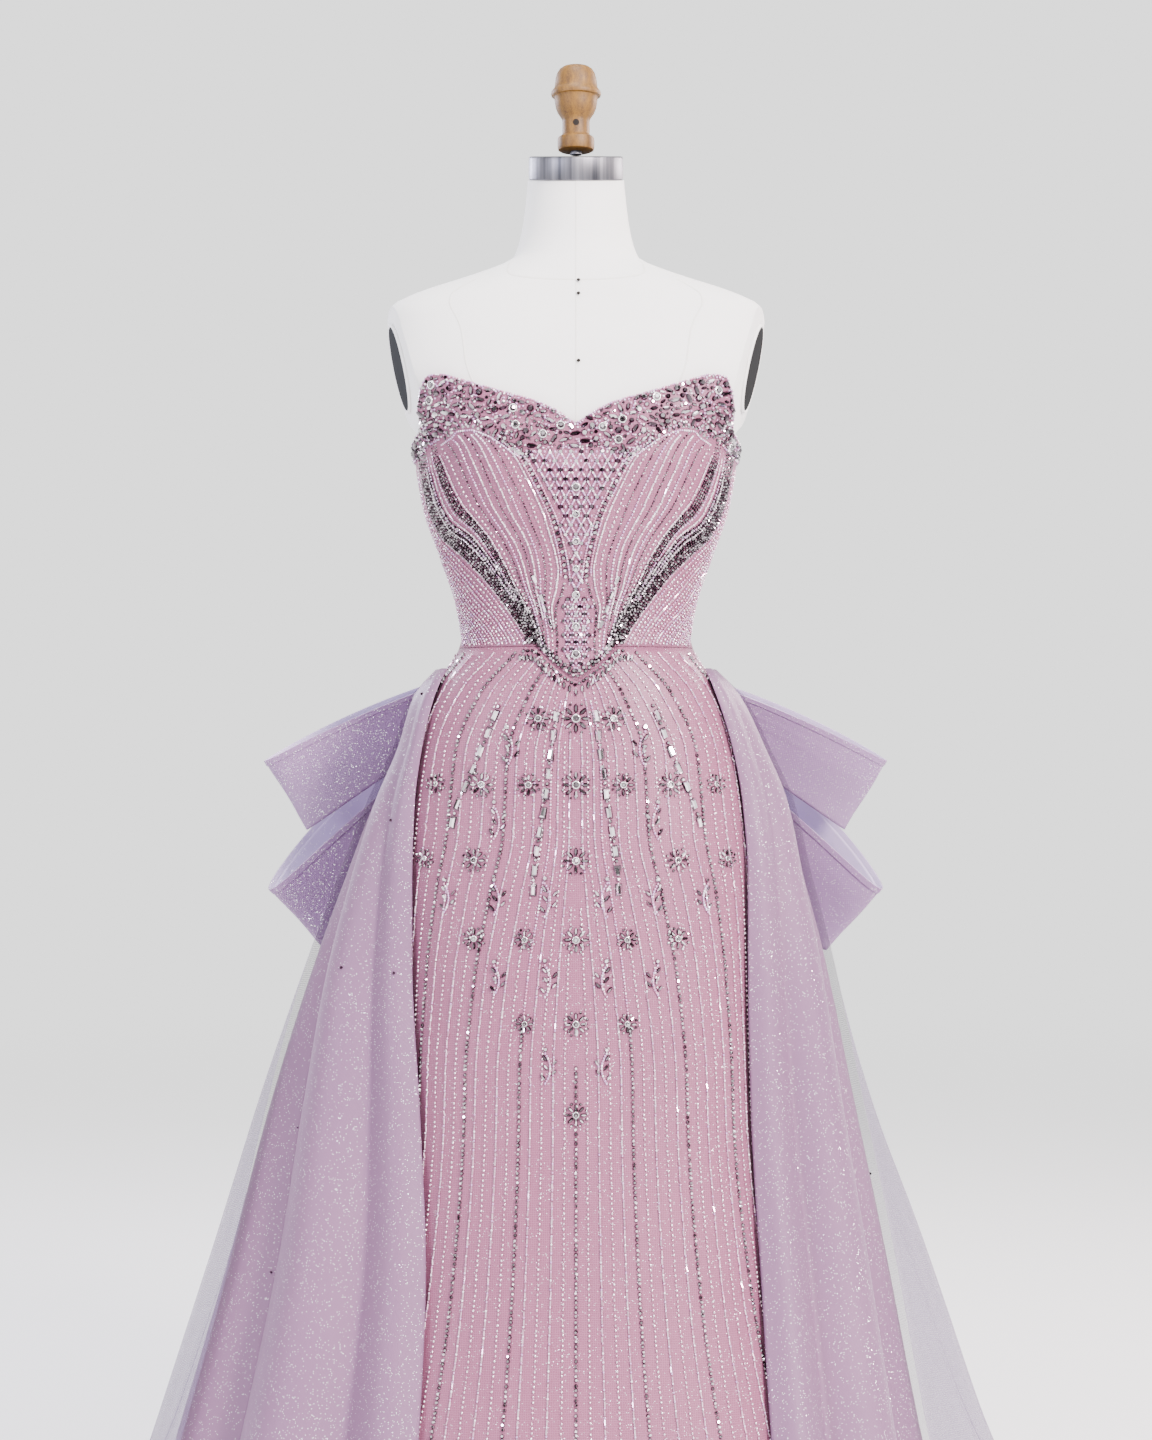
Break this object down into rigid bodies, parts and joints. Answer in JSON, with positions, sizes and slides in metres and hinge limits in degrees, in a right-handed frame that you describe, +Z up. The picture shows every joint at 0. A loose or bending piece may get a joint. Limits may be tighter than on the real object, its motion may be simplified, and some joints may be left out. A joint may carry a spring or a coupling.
{
  "type": "mermaid evening gown on a dress form",
  "caption": "Strapless beaded mermaid evening gown with an open organza overskirt and a back bow, standing on a limbless dress form.",
  "frame": {"origin": "centre of the underside of the stand's base, on the floor", "axes": "+Z up; -Y is the front of the gown, +X the wearer's left"},
  "size_m": [1.0444, 0.8834, 1.661],
  "materials": {
    "beaded_tulle": "dusty pink tulle over satin, sewn with beads",
    "glitter_organza": "lilac pink organza with fine glitter",
    "sheer_tulle": "sheer lilac tulle",
    "form_cotton": "off-white cotton cover",
    "arm_board": "dark slate board",
    "brushed_steel": "brushed",
    "turned_beech": "turned and varnished",
    "painted_iron": "black paint"
  },
  "bodies": {
    "root": {"form_torso": "form_cotton", "arm_plate_left": "arm_board", "arm_plate_right": "arm_board", "neck_cap": "brushed_steel", "finial_post": "brushed_steel", "finial": "turned_beech", "stand_pole": "painted_iron", "stand_base": "painted_iron", "bodice_front": "beaded_tulle", "bodice_side_left": "beaded_tulle", "bodice_side_right": "beaded_tulle", "bodice_back_left": "beaded_tulle", "bodice_back_right": "beaded_tulle", "back_zip": "beaded_tulle", "skirt_front": "beaded_tulle", "skirt_back_left": "beaded_tulle", "skirt_back_right": "beaded_tulle", "overskirt_left": "glitter_organza", "overskirt_right": "glitter_organza", "overskirt_back": "glitter_organza", "tulle_left": "sheer_tulle", "tulle_right": "sheer_tulle", "bow_upper_left": "glitter_organza", "bow_upper_right": "glitter_organza", "bow_lower_left": "glitter_organza", "bow_lower_right": "glitter_organza", "bow_knot": "glitter_organza"}
  },
  "joints": []
}
